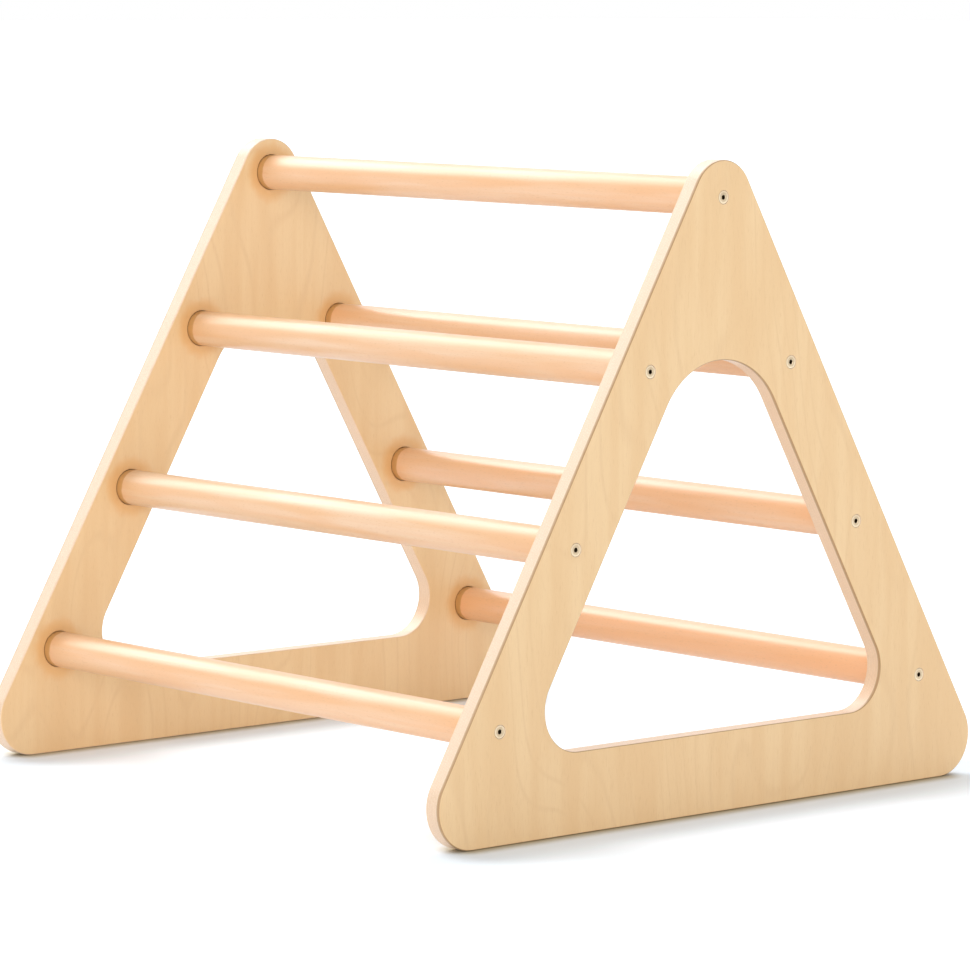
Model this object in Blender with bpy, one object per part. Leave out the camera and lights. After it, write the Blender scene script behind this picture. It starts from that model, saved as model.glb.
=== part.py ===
# Climbing triangle for small children: two birch plywood side panels held apart by seven beech
# rungs, each rung clamped by a countersunk hex-socket bolt at each end.
# Metres, +Z up. The origin is on the floor, midway between the panels and under the top rung.
# X runs along the rungs, and -Y is the front slope.

import math

import bmesh
import bpy
from mathutils import Matrix, Vector

# Overall frame
FRAME_WIDTH = 0.676
RUNGS_PER_SLOPE = 3
LOWEST_RUNG_HEIGHT = 0.1025

# Side panel: an equilateral triangle with rounded corners, and a like cut-out inside it
PANEL_SIDE = 0.735
PANEL_THICKNESS = 0.018
SLOPING_BAR_WIDTH = 0.070
BASE_BAR_WIDTH = 0.075
APEX_RADIUS = 0.036
FOOT_RADIUS = 0.039
CUTOUT_APEX_RADIUS = 0.0785
CUTOUT_FOOT_RADIUS = 0.040
PANEL_EDGE_EASE = 0.0012

# Rungs and the pockets that they stand in
RUNG_DIAMETER = 0.035
RUNG_INSET = 0.035
RUNG_END_CHAMFER = 0.0015
POCKET_DEPTH = 0.005
POCKET_CLEARANCE = 0.0005

# Bolts: countersunk head with a hex socket
BOLT_DIAMETER = 0.006
BOLT_LENGTH = 0.030
BOLT_TIP_CHAMFER = 0.001
HEAD_DIAMETER = 0.012
HEAD_RIM = 0.0005
SOCKET_ACROSS_FLATS = 0.004
SOCKET_DEPTH = 0.0028

# Threaded inserts in the rungs' ends
INSERT_DIAMETER = 0.010
INSERT_LENGTH = 0.014
INSERT_THREAD_DEPTH = 0.0008
INSERT_RIDGES = 3
BORE_RUN_OUT = 0.002

# Fits and cutting
SEAT_GAP = 0.0003
CUT_OVERRUN = 0.002

# Facets and angles
CORNER_STEPS = 16
EASE_STEPS = 2
RUNG_SIDES = 40
DRILL_SIDES = 28
FASTENER_SIDES = 18
HEX_SIDES = 6
SLOPE_ANGLE = math.radians(60)
HALF_APEX_ANGLE = math.radians(30)
SMOOTH_ANGLE = math.radians(30)
EASED_ANGLE = math.radians(60)

# Worked out from the sizes above
INNER_FACE_X = FRAME_WIDTH / 2 - PANEL_THICKNESS
POCKET_FLOOR_X = INNER_FACE_X + POCKET_DEPTH
POCKET_RADIUS = RUNG_DIAMETER / 2 + POCKET_CLEARANCE
RUNG_END_X = POCKET_FLOOR_X - SEAT_GAP
INSERT_FACE_X = RUNG_END_X - SEAT_GAP
BOLT_TIP_X = FRAME_WIDTH / 2 - SEAT_GAP - BOLT_LENGTH
INSERT_INNER_X = INSERT_FACE_X - INSERT_LENGTH
BORE_FLOOR_X = min(BOLT_TIP_X, INSERT_INNER_X) - BORE_RUN_OUT
BORE_RADIUS = INSERT_DIAMETER / 2 + SEAT_GAP
CLEARANCE_RADIUS = BOLT_DIAMETER / 2 + SEAT_GAP


def clear_scene():
    for old in list(bpy.data.objects):
        bpy.data.objects.remove(old, do_unlink=True)


def make_material(name, colour, roughness, metallic=0.0):
    material = bpy.data.materials.new(name)
    material.use_nodes = True
    shader = material.node_tree.nodes["Principled BSDF"]
    shader.inputs["Base Color"].default_value = (*colour, 1.0)
    shader.inputs["Roughness"].default_value = roughness
    shader.inputs["Metallic"].default_value = metallic
    return material


def finish_mesh(bm, name, material):
    """Turn a closed bmesh into mesh data with its faces pointing out and its round faces smooth."""
    bmesh.ops.recalc_face_normals(bm, faces=bm.faces)
    mesh = bpy.data.meshes.new(name)
    bm.to_mesh(mesh)
    bm.free()
    mesh.materials.append(material)
    mesh.shade_smooth()
    mesh.set_sharp_from_angle(angle=SMOOTH_ANGLE)
    return mesh


def add_object(name, mesh, parent=None, location=(0, 0, 0), half_turn=False):
    """Place a mesh; half_turn turns it about Z, for the pieces of the left side."""
    thing = bpy.data.objects.new(name, mesh)
    bpy.context.scene.collection.objects.link(thing)
    thing.parent = parent
    thing.location = location
    thing.rotation_euler.z = math.pi if half_turn else 0
    return thing


def turn_profile(bm, profile, sides, y=0, z=0):
    """Turn a profile of (x, radius) points about an axis along X through (y, z).

    A profile that starts at a radius of zero closes on the axis; any other closes on itself.
    """
    rings = []
    for x, radius in profile:
        turn = [2 * math.pi * i / sides for i in range(sides)] if radius else [0]
        places = [(x, y + radius * math.cos(a), z + radius * math.sin(a)) for a in turn]
        rings.append([bm.verts.new(place) for place in places])
    following_rings = rings[1:] if profile[0][1] == 0 else rings[1:] + rings[:1]
    for ring, following in zip(rings, following_rings):
        for i in range(sides):
            j = (i + 1) % sides
            corners = [ring[i % len(ring)], ring[j % len(ring)]]
            corners += [following[j % len(following)], following[i % len(following)]]
            bm.faces.new(list(dict.fromkeys(corners)))


def turned_mesh(name, profile, sides, material):
    bm = bmesh.new()
    turn_profile(bm, profile, sides)
    return finish_mesh(bm, name, material)


def rounded_outline(corners, radii):
    """Round a polygon's corners, given anticlockwise as (y, z), each with an arc of its radius."""
    points = []
    for i, corner in enumerate(corners):
        here = Vector(corner)
        back = (Vector(corners[i - 1]) - here).normalized()
        ahead = (Vector(corners[(i + 1) % len(corners)]) - here).normalized()
        half_angle = back.angle(ahead) / 2
        centre = here + (back + ahead).normalized() * radii[i] / math.sin(half_angle)
        spoke = here + back * radii[i] / math.tan(half_angle) - centre
        sweep = math.pi - 2 * half_angle
        for step in range(CORNER_STEPS + 1):
            turn = Matrix.Rotation(sweep * step / CORNER_STEPS, 2)
            points.append(centre + turn @ spoke)
    return points


def triangle_corners(half_base, height_above_floor):
    """Corners of an equilateral triangle whose base is half_base either side of the middle."""
    apex = height_above_floor + half_base * math.tan(SLOPE_ANGLE)
    return [(-half_base, height_above_floor), (half_base, height_above_floor), (0, apex)]


def prism_mesh(name, outline, x_low, x_high, material):
    """Extrude a closed outline of (y, z) points along X."""
    bm = bmesh.new()
    face = bm.faces.new([bm.verts.new((x_low, y, z)) for y, z in outline])
    grown = bmesh.ops.extrude_face_region(bm, geom=[face])
    moved = [v for v in grown["geom"] if isinstance(v, bmesh.types.BMVert)]
    bmesh.ops.translate(bm, verts=moved, vec=(x_high - x_low, 0, 0))
    return finish_mesh(bm, name, material)


def rung_places():
    """Names and (y, z) of the seven rungs: one at the apex, then level by level down each slope."""
    top_height = PANEL_SIDE / 2 * math.tan(SLOPE_ANGLE) - RUNG_INSET / math.sin(HALF_APEX_ANGLE)
    step_down = (top_height - LOWEST_RUNG_HEIGHT) / RUNGS_PER_SLOPE
    level_names = ["upper", "middle", "lower"]
    places = {"top": (0.0, top_height)}
    for slope, side in (("front", -1), ("back", 1)):
        for level in range(1, RUNGS_PER_SLOPE + 1):
            drop = step_down * level
            label = level_names[level - 1] if level <= len(level_names) else f"level_{level}"
            places[f"{slope}_{label}"] = (side * drop * math.tan(HALF_APEX_ANGLE), top_height - drop)
    return places


def add_cutter(blank, name, mesh):
    cutter = add_object(name, mesh)
    cutter.hide_render = True
    cutter.display_type = "WIRE"
    cut = blank.modifiers.new(name, "BOOLEAN")
    cut.operation = "DIFFERENCE"
    cut.solver = "EXACT"
    cut.object = cutter


def baked_mesh(blank, name, material):
    """Turn a blank and its modifiers into one mesh, and clear the bench of it and its cutters."""
    bpy.context.view_layer.update()
    evaluated = blank.evaluated_get(bpy.context.evaluated_depsgraph_get())
    bm = bmesh.new()
    bm.from_mesh(evaluated.to_mesh())
    evaluated.to_mesh_clear()
    clear_scene()
    return finish_mesh(bm, name, material)


def drill_profile():
    """Profile of the drill that cuts a rung's pocket, its bolt hole and its countersink in one go.

    It is in the panel's own frame, with the inner face at x = 0 and the outer face at
    PANEL_THICKNESS. The countersink keeps SEAT_GAP square to the head's cone, which slopes at
    45 degrees.
    """
    head_radius = HEAD_DIAMETER / 2 + SEAT_GAP
    rim_x = PANEL_THICKNESS - SEAT_GAP - HEAD_RIM - (math.sqrt(2) - 1) * SEAT_GAP
    cone_end_x = rim_x - (head_radius - CLEARANCE_RADIUS)
    return [
        (-CUT_OVERRUN, 0),
        (-CUT_OVERRUN, POCKET_RADIUS),
        (POCKET_DEPTH, POCKET_RADIUS),
        (POCKET_DEPTH, CLEARANCE_RADIUS),
        (cone_end_x, CLEARANCE_RADIUS),
        (rim_x, head_radius),
        (PANEL_THICKNESS + CUT_OVERRUN, head_radius),
        (PANEL_THICKNESS + CUT_OVERRUN, 0),
    ]


def panel_mesh(material, places):
    """Side panel in its own frame: inner face at x = 0, standing on z = 0."""
    half_base = PANEL_SIDE / 2
    outline = rounded_outline(triangle_corners(half_base, 0), [FOOT_RADIUS, FOOT_RADIUS, APEX_RADIUS])
    panel = add_object("panel_blank", prism_mesh("panel_blank", outline, 0, PANEL_THICKNESS, material))

    inner_half_base = half_base - SLOPING_BAR_WIDTH / math.sin(SLOPE_ANGLE)
    inner_half_base -= BASE_BAR_WIDTH * math.tan(HALF_APEX_ANGLE)
    window = rounded_outline(
        triangle_corners(inner_half_base, BASE_BAR_WIDTH),
        [CUTOUT_FOOT_RADIUS, CUTOUT_FOOT_RADIUS, CUTOUT_APEX_RADIUS],
    )
    reach = PANEL_THICKNESS + CUT_OVERRUN
    add_cutter(panel, "cutout_cutter", prism_mesh("cutout_cutter", window, -CUT_OVERRUN, reach, material))

    ease = panel.modifiers.new("eased_edges", "BEVEL")
    ease.width = PANEL_EDGE_EASE
    ease.segments = EASE_STEPS
    ease.limit_method = "ANGLE"
    ease.angle_limit = EASED_ANGLE

    drills = bmesh.new()
    for y, z in places.values():
        turn_profile(drills, drill_profile(), DRILL_SIDES, y, z)
    add_cutter(panel, "drills", finish_mesh(drills, "drills", material))
    return baked_mesh(panel, "side_panel", material)


def rung_mesh(material):
    """Rung about its own middle: eased ends, and a blind bore in each end for the insert and bolt."""
    radius = RUNG_DIAMETER / 2
    half = [
        (BORE_FLOOR_X, 0),
        (BORE_FLOOR_X, BORE_RADIUS),
        (RUNG_END_X, BORE_RADIUS),
        (RUNG_END_X, radius - RUNG_END_CHAMFER),
        (RUNG_END_X - RUNG_END_CHAMFER, radius),
    ]
    profile = half + [(-x, r) for x, r in reversed(half)]
    return turned_mesh("rung", profile, RUNG_SIDES, material)


def insert_mesh(material):
    """Threaded insert from its outer end at x = 0 inwards, with coarse outer ridges that grip wood."""
    crest = INSERT_DIAMETER / 2
    root = crest - INSERT_THREAD_DEPTH
    ridge = INSERT_LENGTH / INSERT_RIDGES
    profile = [(0, CLEARANCE_RADIUS), (0, root)]
    for i in range(INSERT_RIDGES):
        profile.append((-(i + 0.5) * ridge, crest))
        profile.append((-(i + 1) * ridge, root))
    profile.append((-INSERT_LENGTH, CLEARANCE_RADIUS))
    return turned_mesh("insert", profile, FASTENER_SIDES, material)


def bolt_mesh(material):
    """Countersunk bolt from the middle of its head's outer face at x = 0 inwards."""
    head_radius = HEAD_DIAMETER / 2
    shank_radius = BOLT_DIAMETER / 2
    cone_end = -HEAD_RIM - (head_radius - shank_radius)
    profile = [
        (0, 0),
        (0, head_radius),
        (-HEAD_RIM, head_radius),
        (cone_end, shank_radius),
        (-BOLT_LENGTH + BOLT_TIP_CHAMFER, shank_radius),
        (-BOLT_LENGTH, shank_radius - BOLT_TIP_CHAMFER),
        (-BOLT_LENGTH, 0),
    ]
    bolt = add_object("bolt_blank", turned_mesh("bolt_blank", profile, FASTENER_SIDES, material))
    key_radius = SOCKET_ACROSS_FLATS / 2 / math.cos(math.pi / HEX_SIDES)
    key_profile = [(-SOCKET_DEPTH, 0), (-SOCKET_DEPTH, key_radius), (CUT_OVERRUN, key_radius), (CUT_OVERRUN, 0)]
    add_cutter(bolt, "socket_cutter", turned_mesh("socket_cutter", key_profile, HEX_SIDES, material))
    return baked_mesh(bolt, "bolt", material)


clear_scene()

birch_ply = make_material("birch_plywood", (0.84, 0.59, 0.34), 0.5)
beech = make_material("beech", (0.91, 0.62, 0.39), 0.42)
zinc = make_material("zinc_plated_steel", (0.72, 0.70, 0.66), 0.3, metallic=1.0)
brass = make_material("brass", (0.74, 0.55, 0.25), 0.35, metallic=1.0)

rungs = rung_places()
side_panel = panel_mesh(birch_ply, rungs)
bolt = bolt_mesh(zinc)
insert = insert_mesh(brass)
rung = rung_mesh(beech)

frame = add_object("climbing_triangle", None)
add_object("side_panel_right", side_panel, frame, (INNER_FACE_X, 0, 0))
add_object("side_panel_left", side_panel, frame, (-INNER_FACE_X, 0, 0), half_turn=True)
for place, (y, z) in rungs.items():
    add_object(f"rung_{place}", rung, frame, (0, y, z))
    for side, sign in (("right", 1), ("left", -1)):
        left = sign < 0
        head_face = sign * (FRAME_WIDTH / 2 - SEAT_GAP)
        add_object(f"bolt_{side}_{place}", bolt, frame, (head_face, y, z), half_turn=left)
        add_object(f"insert_{side}_{place}", insert, frame, (sign * INSERT_FACE_X, y, z), half_turn=left)
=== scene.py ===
# Climbing triangle for small children, dressed for its picture: two birch plywood side panels
# held apart by seven beech rungs, each clamped at both ends by a hex-socket bolt.
# Metres, +Z up. X runs along the rungs, and -Y is the front slope.

import math

import bmesh
import bpy
from mathutils import Matrix, Vector


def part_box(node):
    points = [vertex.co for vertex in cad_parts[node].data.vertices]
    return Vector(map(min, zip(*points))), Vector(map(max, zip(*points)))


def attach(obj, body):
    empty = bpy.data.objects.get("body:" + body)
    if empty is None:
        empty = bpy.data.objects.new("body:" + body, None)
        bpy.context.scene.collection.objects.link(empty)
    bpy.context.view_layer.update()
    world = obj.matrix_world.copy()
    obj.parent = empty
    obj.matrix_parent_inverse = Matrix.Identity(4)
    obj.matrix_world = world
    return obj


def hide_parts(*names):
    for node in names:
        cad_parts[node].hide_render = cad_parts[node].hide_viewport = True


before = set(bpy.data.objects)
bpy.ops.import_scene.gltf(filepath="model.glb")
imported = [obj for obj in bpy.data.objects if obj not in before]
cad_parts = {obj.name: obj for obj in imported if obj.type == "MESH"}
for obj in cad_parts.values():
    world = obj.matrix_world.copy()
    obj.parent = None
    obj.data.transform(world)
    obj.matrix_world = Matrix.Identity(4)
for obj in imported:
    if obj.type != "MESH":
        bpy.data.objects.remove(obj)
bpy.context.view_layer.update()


# Side panels
# Two equal sheets of 18 mm birch plywood, each cut on a router into an equilateral triangle with
# a like cut-out, eased along its edges and lacquered. Each rung stands in a shallow pocket in the
# inner face, and its bolt comes through a countersunk hole from the outer face.

PANEL_SIDE = 0.735
SLOPING_BAR_WIDTH = 0.070
BASE_BAR_WIDTH = 0.075
APEX_RADIUS = 0.036
FOOT_RADIUS = 0.039
CUTOUT_APEX_RADIUS = 0.0785
CUTOUT_FOOT_RADIUS = 0.040
EDGE_EASE = 0.0014
RIM_EASE = 0.0004
POCKET_DEPTH = 0.005
POCKET_RADIUS = 0.018
HEAD_RECESS_RADIUS = 0.0063
HEAD_RECESS_DEPTH = 0.0009
BOLT_HOLE_RADIUS = 0.0033
SLOPE_ANGLE = math.radians(60)
CORNER_STEPS = 40
DRILL_STEPS = 64
EASE_STEPS = 4
SMOOTH_ANGLE = math.radians(32)

# Levels are where a noise starts and ends its blend, and a share is how much of a colour it then
# brings. A squeeze draws a pattern out along the grain.
VENEER_PALE = (0.870, 0.625, 0.350)
VENEER_DEEP = (0.820, 0.556, 0.290)
VENEER_FIGURE = (0.640, 0.380, 0.180)
VENEER_STREAKS_PER_METRE = 320.0
VENEER_STREAK_SHARE = 0.3
VENEER_PORES_PER_METRE = 1700.0
VENEER_PORE_SHARE = 0.25
VENEER_BANDS_PER_METRE = 42.0
VENEER_BAND_SQUEEZE = 0.12
GROWTH_RINGS_PER_METRE = 34.0
RING_WAVES_PER_METRE = 6.5
RING_WAVE_SQUEEZE = 0.4
RING_WAVE_REACH = 16.0
FLAME_LINE_WIDTH = 0.14
FLAME_LEVELS = (0.36, 0.64)
FLAME_SHARES = (0.03, 0.17)
STREAK_LEVELS = (0.75, 0.3)
MIDDLE_LEVELS = (0.3, 0.7)
FACE_NORMALS = (0.98, 0.8)
VENEER_ROUGHNESS = 0.40
VENEER_STREAK_ROUGHNESS = 0.12
WALL_ROUGHNESS = 0.08
VENEER_COAT = 0.12
WALL_COAT = 0.6

# Painted shade round each rung, amber, where it meets the inner face.
RUNG_SHADE_AMBER = (0.790, 0.420, 0.140)
RUNG_SHADE_REACH = 0.016
RUNG_SHADE_PATCHES_PER_METRE = 90.0
RUNG_SHADE_SHARE = 0.62
INNER_FACE_FADE = (0.002, 0.001)

PLY_COUNT = 11
PLY_WANDER = 0.0003
PLY_WAVES_PER_METRE = 30.0
GLUE_LINE_WIDTH = 0.00022
GLUE_BROWN = (0.330, 0.190, 0.090)
GLUE_SHARE = 0.6
CORE_PALE = (0.750, 0.580, 0.425)
CORE_DEEP = (0.700, 0.492, 0.327)
CORE_SPECKS_PER_METRE = 900.0
CROSSING_PLY_SHARE = 0.35
CUTOUT_MIDDLE = Vector((0.0, 0.0, 0.220))
# The cut-out's walls are painted browner than the outer edge, as painted shade.
CUTOUT_SHADE_TAN = (0.800, 0.540, 0.330)
CUTOUT_SHADE_SHARE = 0.5
# A dark line along the outer face, of unknown cause; where a wall faces up it is painted faint, as
# painted light from above.
OUTER_LINE_BROWN = (0.350, 0.190, 0.060)
OUTER_LINE_WIDTH = 0.0040
OUTER_LINE_SHARE_RIGHT = 0.90
OUTER_LINE_SHARE_LEFT = 0.24
TOP_LIT_NORMALS = (0.75, 0.95)
TOP_LIT_LINE_SHARE = 0.15

inner_face, outer_face = [corner.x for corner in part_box("side_panel_right")]
panel_thickness = outer_face - inner_face


def middle_of(node):
    low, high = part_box(node)
    return (low + high) / 2


rung_nodes = sorted(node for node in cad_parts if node.startswith("rung_"))
rung_middles = [middle_of(node) for node in rung_nodes]
top_place = middle_of("rung_top")
step_down = middle_of("rung_front_upper") - top_place


def corner_arcs(corners, radii):
    """Points of an outline with its corners rounded, each as (centre, radius, spoke)."""
    points = []
    for i, corner in enumerate(corners):
        here = Vector(corner)
        back = (Vector(corners[i - 1]) - here).normalized()
        ahead = (Vector(corners[(i + 1) % len(corners)]) - here).normalized()
        half_angle = back.angle(ahead) / 2
        centre = here + (back + ahead).normalized() * radii[i] / math.sin(half_angle)
        spoke = (here + back * radii[i] / math.tan(half_angle) - centre).normalized()
        sweep = math.pi - 2 * half_angle
        for step in range(CORNER_STEPS + 1):
            turn = Matrix.Rotation(sweep * step / CORNER_STEPS, 2)
            points.append((centre, radii[i], turn @ spoke))
    return points


def drill_circle(middle):
    """Points of a circle about a rung's middle in the same form, with no radius of its own."""
    centre = Vector((middle.y, middle.z))
    turns = [2 * math.pi * i / DRILL_STEPS for i in range(DRILL_STEPS)]
    return [(centre, 0.0, Vector((math.cos(turn), math.sin(turn)))) for turn in turns]


def eased_edge(ease, way_out):
    """Points (growth, depth) that round the edge from the outer face into a wall.

    way_out is the growth that leads from the wall to the face's side: 1 or -1.
    """
    points = []
    for step in range(EASE_STEPS + 1):
        angle = math.pi / 2 * step / EASE_STEPS
        points.append((way_out * ease * (1 - math.sin(angle)), ease * (1 - math.cos(angle))))
    return points


def through_wall(ease, way_out):
    """Profile of a wall that runs right through the sheet, eased at both faces."""
    outer_edge = eased_edge(ease, way_out)
    return outer_edge + [(growth, panel_thickness - depth) for growth, depth in reversed(outer_edge)]


def drilled_wall():
    """Profile of the countersunk bolt hole and the pocket behind it, as radii."""
    rim = eased_edge(RIM_EASE, 1)
    cone_end = HEAD_RECESS_DEPTH + HEAD_RECESS_RADIUS - BOLT_HOLE_RADIUS
    pocket_floor = panel_thickness - POCKET_DEPTH
    profile = [(HEAD_RECESS_RADIUS + growth, depth) for growth, depth in rim]
    profile += [(HEAD_RECESS_RADIUS, HEAD_RECESS_DEPTH), (BOLT_HOLE_RADIUS, cone_end)]
    profile += [(BOLT_HOLE_RADIUS, pocket_floor), (POCKET_RADIUS, pocket_floor)]
    profile += [(POCKET_RADIUS + growth, panel_thickness - depth) for growth, depth in reversed(rim)]
    return profile


def cut_wall(bm, outline, profile, side):
    """Run an outline through a profile of (growth, depth), and return its first and last rims."""
    loops = []
    for growth, depth in profile:
        places = [centre + spoke * (radius + growth) for centre, radius, spoke in outline]
        loops.append([bm.verts.new((side * (outer_face - depth), y, z)) for y, z in places])
    for loop, following in zip(loops, loops[1:]):
        for i in range(len(loop)):
            bm.faces.new((loop[i - 1], loop[i], following[i], following[i - 1]))
    rims = (loops[0], loops[-1])
    return [[bm.edges.get((rim[i - 1], rim[i])) for i in range(len(rim))] for rim in rims]


def triangle_corners(half_base, height_above_floor):
    apex = height_above_floor + half_base * math.tan(SLOPE_ANGLE)
    return [(-half_base, height_above_floor), (half_base, height_above_floor), (0, apex)]


def panel_mesh(name, side):
    """One side panel; side is 1 for the right one and -1 for the left one."""
    half_base = PANEL_SIDE / 2
    window_half_base = half_base - SLOPING_BAR_WIDTH / math.sin(SLOPE_ANGLE)
    window_half_base -= BASE_BAR_WIDTH / math.tan(SLOPE_ANGLE)
    outline = corner_arcs(triangle_corners(half_base, 0), [FOOT_RADIUS, FOOT_RADIUS, APEX_RADIUS])
    window_radii = [CUTOUT_FOOT_RADIUS, CUTOUT_FOOT_RADIUS, CUTOUT_APEX_RADIUS]
    window = corner_arcs(triangle_corners(window_half_base, BASE_BAR_WIDTH), window_radii)

    bm = bmesh.new()
    rims = [
        cut_wall(bm, outline, through_wall(EDGE_EASE, -1), side),
        cut_wall(bm, window, through_wall(EDGE_EASE, 1), side),
    ]
    rims += [cut_wall(bm, drill_circle(middle), drilled_wall(), side) for middle in rung_middles]
    for face_rims in zip(*rims):
        edges = [edge for rim in face_rims for edge in rim]
        bmesh.ops.triangle_fill(bm, edges=edges, use_beauty=True, normal=(side, 0, 0))
    bmesh.ops.recalc_face_normals(bm, faces=bm.faces)
    mesh = bpy.data.meshes.new(name)
    bm.to_mesh(mesh)
    bm.free()
    mesh.shade_smooth()
    mesh.set_sharp_from_angle(angle=SMOOTH_ANGLE)
    return mesh


def finished_mesh(worked):
    """The mesh of an object with its modifiers applied; the object itself is thrown away."""
    bench = bpy.context.evaluated_depsgraph_get()
    evaluated = worked.evaluated_get(bench)
    mesh = bpy.data.meshes.new_from_object(evaluated, preserve_all_data_layers=True, depsgraph=bench)
    bpy.data.objects.remove(worked)
    return mesh


def add_piece(name, mesh):
    piece = bpy.data.objects.new(name, mesh)
    bpy.context.scene.collection.objects.link(piece)
    return piece


def add_node(tree, kind, inputs=None, **settings):
    """Add a node with its settings, and set or join its inputs by name or number."""
    made = tree.nodes.new(kind)
    for setting, value in settings.items():
        setattr(made, setting, value)
    for key, value in (inputs or {}).items():
        if isinstance(value, bpy.types.NodeSocket):
            tree.links.new(value, made.inputs[key])
        else:
            made.inputs[key].default_value = value
    return made


def worked_out(tree, operation, *terms):
    """Result of one Math node on sockets or numbers."""
    return add_node(tree, "ShaderNodeMath", dict(enumerate(terms)), operation=operation).outputs[0]


def share_of(tree, share, mask):
    """A mask brought down to a share of itself."""
    return worked_out(tree, "MULTIPLY", mask, share)


def vector_worked_out(tree, operation, *terms):
    """Result of one Vector Math node on vectors, as a vector or as the single value it gives."""
    made = add_node(tree, "ShaderNodeVectorMath", dict(enumerate(terms)), operation=operation)
    gives_one_value = operation in ("DOT_PRODUCT", "DISTANCE", "LENGTH")
    return made.outputs["Value" if gives_one_value else "Vector"]


def joined(tree, x=0.0, y=0.0, z=0.0):
    """A vector made of three sockets or numbers."""
    return add_node(tree, "ShaderNodeCombineXYZ", {0: x, 1: y, 2: z}).outputs[0]


def parted(tree, vector):
    """The x, y and z sockets of a vector."""
    return add_node(tree, "ShaderNodeSeparateXYZ", {0: vector}).outputs


def ramped(tree, value, start, end, low=0.0, high=1.0):
    """A value carried smoothly from start..end to low..high."""
    inputs = {"Value": value, "From Min": start, "From Max": end, "To Min": low, "To Max": high}
    return add_node(tree, "ShaderNodeMapRange", inputs, interpolation_type="SMOOTHSTEP").outputs[0]


def blended(tree, share, first, second):
    """Two colours mixed by a share that changes over the surface."""
    colours = [(*colour, 1.0) if isinstance(colour, tuple) else colour for colour in (first, second)]
    inputs = {0: share, 6: colours[0], 7: colours[1]}
    return add_node(tree, "ShaderNodeMix", inputs, data_type="RGBA").outputs[2]


def drawn_out(tree, place, squeeze):
    """A place squeezed along Z, so that a pattern on it is drawn out that way."""
    return add_node(tree, "ShaderNodeMapping", {"Vector": place, "Scale": (1, 1, squeeze)}).outputs[0]


def noise(tree, place, scale, detail=2.0, roughness=0.5):
    inputs = {"Vector": place, "Scale": scale, "Detail": detail, "Roughness": roughness}
    return add_node(tree, "ShaderNodeTexNoise", inputs).outputs[0]


def new_group(name, kind, inputs, outputs):
    """An empty node group, with its inputs as (name, type, value) and its outputs as (name, type)."""
    tree = bpy.data.node_groups.new(name, kind)
    for label, socket_type, value in inputs:
        socket = tree.interface.new_socket(label, in_out="INPUT", socket_type=socket_type)
        if value is not None:
            socket.default_value = value
    for label, socket_type in outputs:
        tree.interface.new_socket(label, in_out="OUTPUT", socket_type=socket_type)
    return tree, tree.nodes.new("NodeGroupInput").outputs, tree.nodes.new("NodeGroupOutput").inputs


def build_wood_fibre():
    """Shader group for straight-grained wood with its grain along Z: fine streaks and short pores."""
    tree, given, result = new_group(
        "wood_fibre",
        "ShaderNodeTree",
        [
            ("Place", "NodeSocketVector", None),
            ("Streaks per metre", "NodeSocketFloat", 300.0),
            ("Streak squeeze", "NodeSocketFloat", 0.035),
            ("Pores per metre", "NodeSocketFloat", 1800.0),
            ("Pore squeeze", "NodeSocketFloat", 0.07),
            ("Pore threshold", "NodeSocketFloat", 0.6),
            ("Pore softness", "NodeSocketFloat", 0.12),
        ],
        [("Streaks", "NodeSocketFloat"), ("Pores", "NodeSocketFloat"), ("Relief", "NodeSocketFloat")],
    )
    parts = parted(tree, given["Place"])
    along_streaks = worked_out(tree, "MULTIPLY", parts[2], given["Streak squeeze"])
    along_pores = worked_out(tree, "MULTIPLY", parts[2], given["Pore squeeze"])
    streak_place = joined(tree, parts[0], parts[1], along_streaks)
    pore_place = joined(tree, parts[0], parts[1], along_pores)
    streaks = noise(tree, streak_place, given["Streaks per metre"], detail=4, roughness=0.6)
    pore_noise = noise(tree, pore_place, given["Pores per metre"], detail=1)
    pore_edge = worked_out(tree, "ADD", given["Pore threshold"], given["Pore softness"])
    pores = ramped(tree, pore_noise, given["Pore threshold"], pore_edge)
    tree.links.new(streaks, result["Streaks"])
    tree.links.new(pores, result["Pores"])
    tree.links.new(worked_out(tree, "SUBTRACT", streaks, pores), result["Relief"])
    return tree


wood_fibre = build_wood_fibre()


def new_material(name):
    """A material with nothing in it but its Principled shader and its output."""
    material = bpy.data.materials.new(name)
    material.use_nodes = True
    return material, material.node_tree, material.node_tree.nodes["Principled BSDF"]


def join_paint(tree, shader, colour, roughness, relief, strength, depth):
    """Join a worked-out colour, roughness and relief to a Principled shader."""
    bump = add_node(tree, "ShaderNodeBump", {"Height": relief, "Strength": strength, "Distance": depth})
    tree.links.new(colour, shader.inputs["Base Color"])
    tree.links.new(roughness, shader.inputs["Roughness"])
    tree.links.new(bump.outputs[0], shader.inputs["Normal"])


def gap_to_rung(tree, place):
    """Distance in the panel's plane from the middle of the nearest rung.

    The place is carried to the front slope and measured from the rung that is nearest there.
    """
    parts = parted(tree, place)
    forward = worked_out(tree, "MULTIPLY", worked_out(tree, "ABSOLUTE", parts[1]), -1.0)
    from_top = vector_worked_out(tree, "SUBTRACT", joined(tree, 0.0, forward, parts[2]), top_place)
    unit_step = step_down / step_down.length_squared
    nearest = worked_out(tree, "ROUND", vector_worked_out(tree, "DOT_PRODUCT", from_top, unit_step))
    down_inputs = {0: step_down, "Scale": nearest}
    rung_place = add_node(tree, "ShaderNodeVectorMath", down_inputs, operation="SCALE").outputs[0]
    return vector_worked_out(tree, "DISTANCE", from_top, rung_place)


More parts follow.
